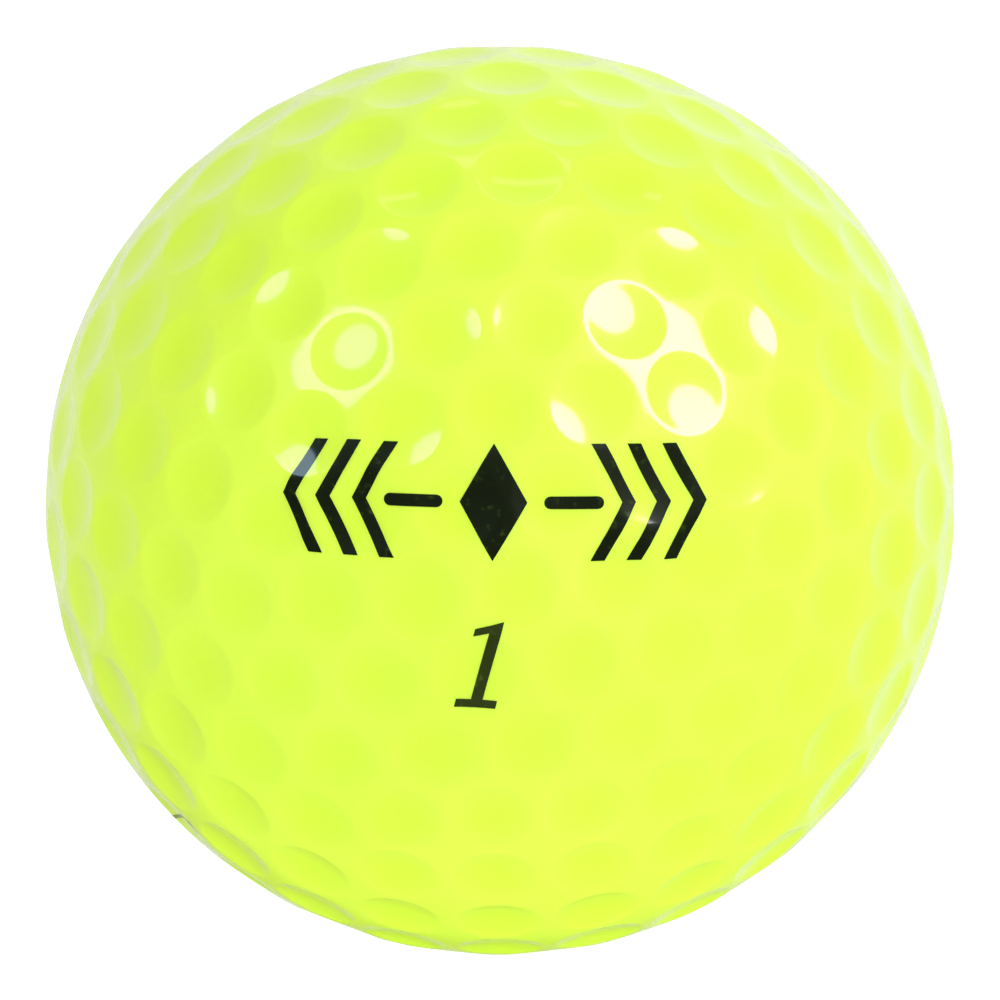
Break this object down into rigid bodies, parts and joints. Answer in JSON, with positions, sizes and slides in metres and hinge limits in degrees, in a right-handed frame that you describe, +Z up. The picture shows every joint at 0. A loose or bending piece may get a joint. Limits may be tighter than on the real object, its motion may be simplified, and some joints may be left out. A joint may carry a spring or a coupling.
{
  "type": "golf ball",
  "caption": "Dimpled golf ball: a solid rubber core inside a mantle and a neon yellow cover, each moulded as two cups.",
  "frame": {"origin": "centre of the ball", "axes": "+Z up, towards the top of the ball as it lies; -Y through the front pole, square to the parting plane Y = 0"},
  "size_m": [0.0426, 0.0424, 0.0426],
  "materials": {
    "cover": "neon yellow ionomer under a high-gloss clear coat",
    "mantle": "milky unpigmented ionomer, satin",
    "core": "ground solid rubber, matt",
    "ink": "pad-printed near-black ink under the clear coat"
  },
  "bodies": {
    "root": {"core": "core", "mantle_front": "mantle", "mantle_back": "mantle", "cover_front": "cover", "cover_back": "cover"}
  },
  "joints": []
}
